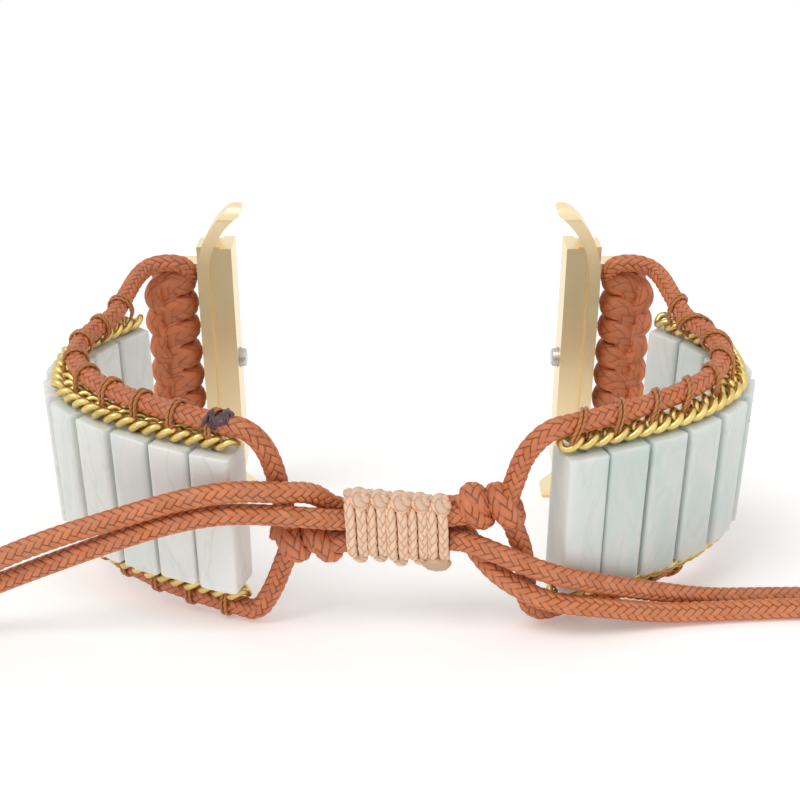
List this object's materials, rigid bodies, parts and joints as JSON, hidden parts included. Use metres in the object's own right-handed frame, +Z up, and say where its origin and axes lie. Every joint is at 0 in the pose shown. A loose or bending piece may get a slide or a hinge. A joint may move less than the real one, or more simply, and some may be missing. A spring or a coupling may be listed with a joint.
{
  "type": "bead watch band",
  "caption": "Watch band with long square stone beads laced side by side between corded edges with gold-coloured chain, a sliding cord knot at the front and metal rail adapters at the back.",
  "frame": {"origin": "on the surface the band rests on, under the middle of the band without its free tails", "axes": "+Z up, +X to the right as seen from the knot, -Y towards the sliding knot, +Y towards the two adapters"},
  "size_m": [0.1047, 0.0416, 0.0337],
  "materials": {
    "bead": "polished, slightly see-through",
    "cord": "waxed braid",
    "knot_cord": "waxed twist",
    "thread": "waxed",
    "chain": "polished",
    "adapter": "polished gold-coloured plating",
    "steel": "plain"
  },
  "bodies": {
    "knot": {"sliding_knot": "knot_cord"},
    "left_front": {"left_bead_01": "bead", "left_bead_02": "bead", "left_bead_03": "bead", "left_bead_04": "bead", "left_bead_05": "bead", "left_front_edge_cords": "cord", "left_front_chains": "chain", "left_front_threads": "thread", "left_top_lead": "cord", "left_bottom_lead": "cord", "left_stopper_knot": "cord", "left_running_strands": "cord", "right_upper_tail": "cord", "right_lower_tail": "cord"},
    "left_turn": {"left_bead_06": "bead", "left_bead_07": "bead", "left_turn_edge_cords": "cord", "left_turn_chains": "chain", "left_turn_threads": "thread"},
    "left_back": {"left_bead_08": "bead", "left_bead_09": "bead", "left_back_edge_cords": "cord", "left_back_chains": "chain", "left_back_threads": "thread", "left_hitch": "cord"},
    "left_end": {"left_adapter": "adapter", "left_lug_bar": "steel", "left_latch_spring": "steel"},
    "left_latch": {"left_latch_nub": "steel"},
    "right_front": {"right_bead_01": "bead", "right_bead_02": "bead", "right_bead_03": "bead", "right_bead_04": "bead", "right_bead_05": "bead", "right_front_edge_cords": "cord", "right_front_chains": "chain", "right_front_threads": "thread", "right_top_lead": "cord", "right_bottom_lead": "cord", "right_stopper_knot": "cord", "right_running_strands": "cord", "left_upper_tail": "cord", "left_lower_tail": "cord"},
    "right_turn": {"right_bead_06": "bead", "right_bead_07": "bead", "right_turn_edge_cords": "cord", "right_turn_chains": "chain", "right_turn_threads": "thread"},
    "right_back": {"right_bead_08": "bead", "right_bead_09": "bead", "right_back_edge_cords": "cord", "right_back_chains": "chain", "right_back_threads": "thread", "right_hitch": "cord"},
    "right_end": {"right_adapter": "adapter", "right_lug_bar": "steel", "right_latch_spring": "steel"},
    "right_latch": {"right_latch_nub": "steel"}
  },
  "joints": [
    {"name": "left_cord_slide", "type": "slide", "parent": "knot", "child": "left_front", "axis": [-1, 0, 0], "range_m": [0, 0.025], "deforming": ["right_upper_tail", "right_lower_tail", "left_upper_tail", "left_lower_tail"]},
    {"name": "left_front_flex", "type": "hinge", "parent": "left_front", "child": "left_turn", "pos_m": [-0.02977, -0.00615, 0.0122], "axis": [0, -0.2106, 0.9776], "range_deg": [0, 30]},
    {"name": "left_back_flex", "type": "hinge", "parent": "left_turn", "child": "left_back", "pos_m": [-0.03061, 0.00228, 0.01401], "axis": [0, -0.2106, 0.9776], "range_deg": [0, 30]},
    {"name": "left_adapter_pivot", "type": "hinge", "parent": "left_back", "child": "left_end", "pos_m": [-0.0234, 0.01557, 0.01687], "axis": [0, -0.2106, 0.9776], "range_deg": [0, 70]},
    {"name": "left_latch_press", "type": "slide", "parent": "left_end", "child": "left_latch", "axis": [-1, 0, 0], "range_m": [0, 0.0006], "stiffness_N_per_m": 500, "springref_m": -0.0005, "deforming": ["left_latch_spring"]},
    {"name": "right_cord_slide", "type": "slide", "parent": "knot", "child": "right_front", "axis": [1, 0, 0], "range_m": [0, 0.025], "deforming": ["right_upper_tail", "right_lower_tail", "left_upper_tail", "left_lower_tail"]},
    {"name": "right_front_flex", "type": "hinge", "parent": "right_front", "child": "right_turn", "pos_m": [0.02977, -0.00615, 0.0122], "axis": [0, 0.2106, -0.9776], "range_deg": [0, 30]},
    {"name": "right_back_flex", "type": "hinge", "parent": "right_turn", "child": "right_back", "pos_m": [0.03061, 0.00228, 0.01401], "axis": [0, 0.2106, -0.9776], "range_deg": [0, 30]},
    {"name": "right_adapter_pivot", "type": "hinge", "parent": "right_back", "child": "right_end", "pos_m": [0.0234, 0.01557, 0.01687], "axis": [0, 0.2106, -0.9776], "range_deg": [0, 70]},
    {"name": "right_latch_press", "type": "slide", "parent": "right_end", "child": "right_latch", "axis": [1, 0, 0], "range_m": [0, 0.0006], "stiffness_N_per_m": 500, "springref_m": -0.0005, "deforming": ["right_latch_spring"]}
  ]
}
